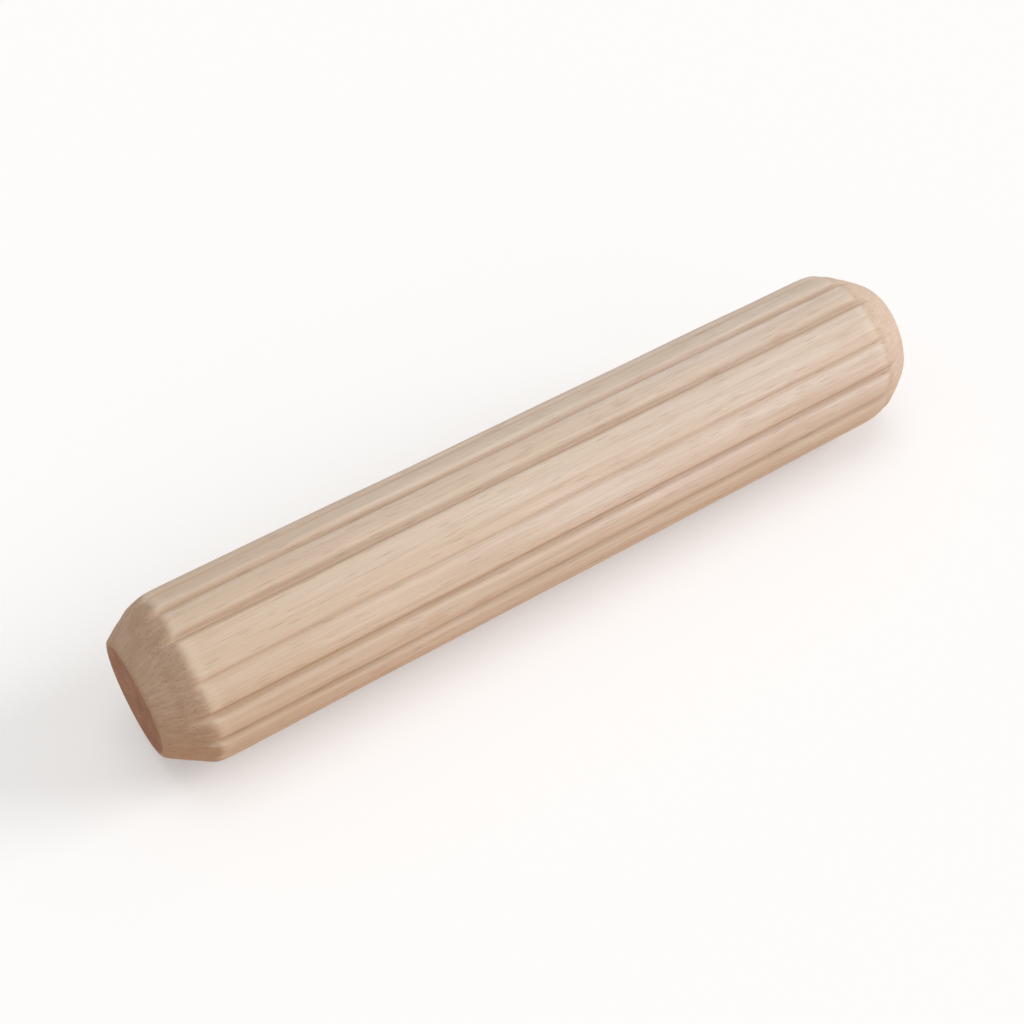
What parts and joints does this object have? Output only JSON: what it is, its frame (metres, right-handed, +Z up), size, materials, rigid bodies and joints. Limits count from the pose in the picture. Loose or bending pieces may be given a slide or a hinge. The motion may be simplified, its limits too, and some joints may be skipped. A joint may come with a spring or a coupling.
{
  "type": "fluted wooden dowel pin",
  "caption": "Short round beech pin with pressed grooves along its length and a bevel at each end, pressed and glued into drilled holes to join two boards.",
  "frame": {"origin": "on the pin's axis, half-way between its end faces, where the glue line between the two boards lies", "axes": "+X along the pin's axis; +Z up, with a groove facing straight down between the two ridges that the pin lies on"},
  "size_m": [0.04, 0.0078, 0.0078],
  "materials": {
    "beech": "bare, pressed and tumbled smooth, with sawn end grain"
  },
  "bodies": {
    "root": {"dowel_pin": "beech"}
  },
  "joints": []
}
